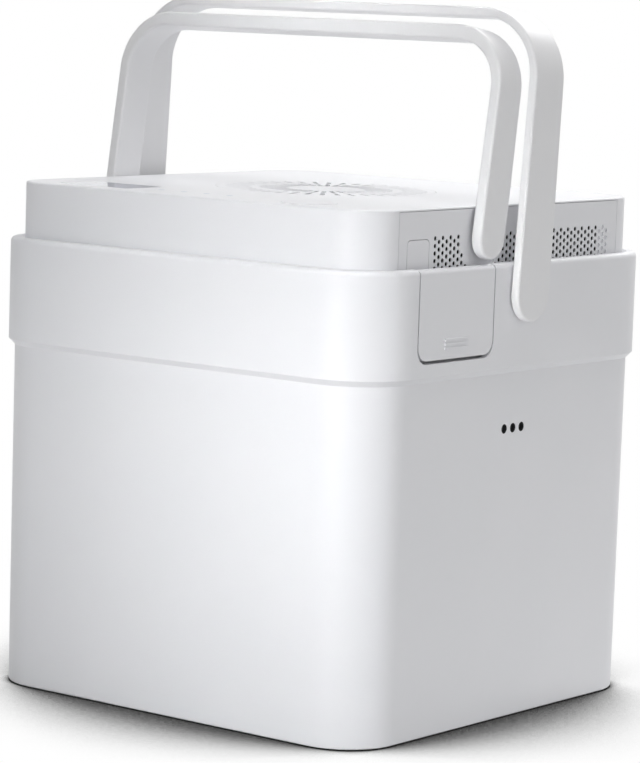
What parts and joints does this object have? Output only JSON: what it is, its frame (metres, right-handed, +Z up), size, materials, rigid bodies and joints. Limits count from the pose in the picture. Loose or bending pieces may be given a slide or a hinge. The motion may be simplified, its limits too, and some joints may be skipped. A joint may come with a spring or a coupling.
{
  "type": "portable power bank",
  "caption": "Cube-shaped water-activated power bank: square tub, lift-out power module with perforated air intakes, round roof grille, two carrying handles and side latches.",
  "frame": {"origin": "centre of the footprint, on the surface that the feet stand on", "axes": "+Z up, -Y towards the front, +X towards the side with the level holes; the handles' hinges run along X"},
  "size_m": [0.2464, 0.236, 0.3366],
  "materials": {
    "white_shell": "fine satin moulded ABS",
    "white_handle": "smooth satin moulded plastic",
    "button_plastic": "satin moulded plastic",
    "inner_plastic": "plain moulded plastic",
    "black_plastic": "plain moulded plastic",
    "rubber": "moulded rubber",
    "steel": "turned and plated",
    "spring_steel": "rolled strip",
    "circuit_board": "green solder mask",
    "board_parts": "extruded and cast",
    "brass": "bright",
    "dark_lens": "clear window printed dark behind",
    "clear_lens": "frosted clear plastic",
    "filter_mesh": "woven mesh",
    "air_cathode": "pressed carbon sheet",
    "anode_metal": "rolled metal plate"
  },
  "bodies": {
    "tub": {"tub_shell": "white_shell", "collar_band": "white_shell", "tub_feet": "rubber", "seat_seal": "rubber", "outer_handle_pins": "steel"},
    "outer_handle": {"outer_handle": "white_handle"},
    "inner_handle": {"inner_handle": "white_handle"},
    "latch_right": {"latch_plate_right": "white_shell", "latch_pin_right": "steel", "latch_spring_right": "spring_steel"},
    "latch_left": {"latch_plate_left": "white_shell", "latch_pin_left": "steel", "latch_spring_left": "spring_steel"},
    "power_button": {"power_button": "button_plastic"},
    "fan_rotor": {"fan_rotor": "black_plastic"},
    "module": {"air_cathodes": "air_cathode", "anode_plates": "anode_metal", "board_standoffs": "brass", "bus_bars": "brass", "bus_nuts": "steel", "button_spring": "spring_steel", "button_switch": "black_plastic", "catch_springs": "spring_steel", "cathode_studs": "steel", "cell_cage": "inner_plastic", "cell_frames": "inner_plastic", "control_board": "circuit_board", "converter_board": "circuit_board", "converter_parts": "board_parts", "dc_jack": "steel", "display_lens": "dark_lens", "display_unit": "inner_plastic", "fan_frame": "black_plastic", "filter_frames": "inner_plastic", "inner_handle_pins": "steel", "intake_filters": "filter_mesh", "led_lenses": "clear_lens", "module_base": "inner_plastic", "module_shell": "white_shell", "port_board": "circuit_board", "port_brackets": "inner_plastic", "port_panel": "white_shell", "service_covers": "white_shell", "shell_screws": "steel", "side_panel_left": "white_shell", "side_panel_right": "white_shell", "top_grille": "white_shell", "usb_sockets": "steel"}
  },
  "joints": [
    {"name": "outer_handle_hinge", "type": "hinge", "parent": "tub", "child": "outer_handle", "pos_m": [0, 0.001, 0.2036], "axis": [1, 0, 0], "range_deg": [-86, 94]},
    {"name": "module_lift", "type": "slide", "parent": "tub", "child": "module", "axis": [0, 0, 1], "range_m": [0, 0.074], "deforming": ["catch_springs"]},
    {"name": "inner_handle_hinge", "type": "hinge", "parent": "module", "child": "inner_handle", "pos_m": [0, -0.0247, 0.2305], "axis": [1, 0, 0], "range_deg": [-62, 98]},
    {"name": "latch_right_press", "type": "hinge", "parent": "tub", "child": "latch_right", "pos_m": [0.1152, -0.0528, 0.2162], "axis": [0, 1, 0], "range_deg": [0, 4.5], "stiffness_Nm_per_rad": 1.5, "deforming": ["latch_spring_right", "catch_springs"]},
    {"name": "latch_left_press", "type": "hinge", "parent": "tub", "child": "latch_left", "pos_m": [-0.1152, -0.0528, 0.2162], "axis": [0, -1, 0], "range_deg": [0, 4.5], "stiffness_Nm_per_rad": 1.5, "deforming": ["latch_spring_left", "catch_springs"]},
    {"name": "power_button_press", "type": "slide", "parent": "module", "child": "power_button", "axis": [0, 0, -1], "range_m": [0, 0.001], "stiffness_N_per_m": 800, "deforming": ["button_spring"]},
    {"name": "fan_spin", "type": "hinge", "parent": "module", "child": "fan_rotor", "pos_m": [0, -0.002, 0.23], "axis": [0, 0, 1], "continuous": true}
  ]
}
